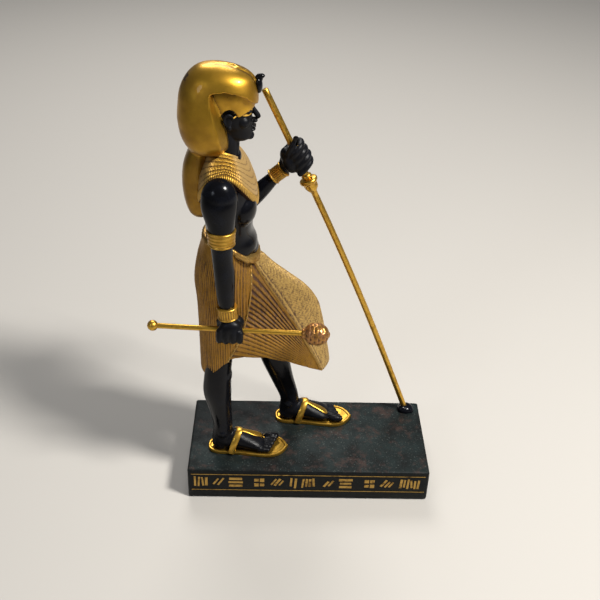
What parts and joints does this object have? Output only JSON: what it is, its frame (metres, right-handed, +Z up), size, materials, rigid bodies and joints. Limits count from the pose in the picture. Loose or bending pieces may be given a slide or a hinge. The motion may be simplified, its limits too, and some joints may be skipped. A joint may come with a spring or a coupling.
{
  "type": "egyptian guardian statuette",
  "caption": "Black and gold resin statuette of a striding Egyptian guardian with a slanting staff and a mace, on an oblong plinth.",
  "frame": {"origin": "centre of the plinth's underside, on the surface it stands on", "axes": "+X the way the figure faces, +Y to the figure's left, +Z up"},
  "size_m": [0.1267, 0.0535, 0.2016],
  "materials": {
    "plinth_charcoal": "satin",
    "cast_black_and_gold": "gloss",
    "gold_rod": "satin",
    "black_resin": "gloss"
  },
  "bodies": {
    "root": {"plinth": "plinth_charcoal", "figure": "cast_black_and_gold", "staff": "gold_rod", "mace": "gold_rod", "staff_foot_bead": "black_resin"}
  },
  "joints": []
}
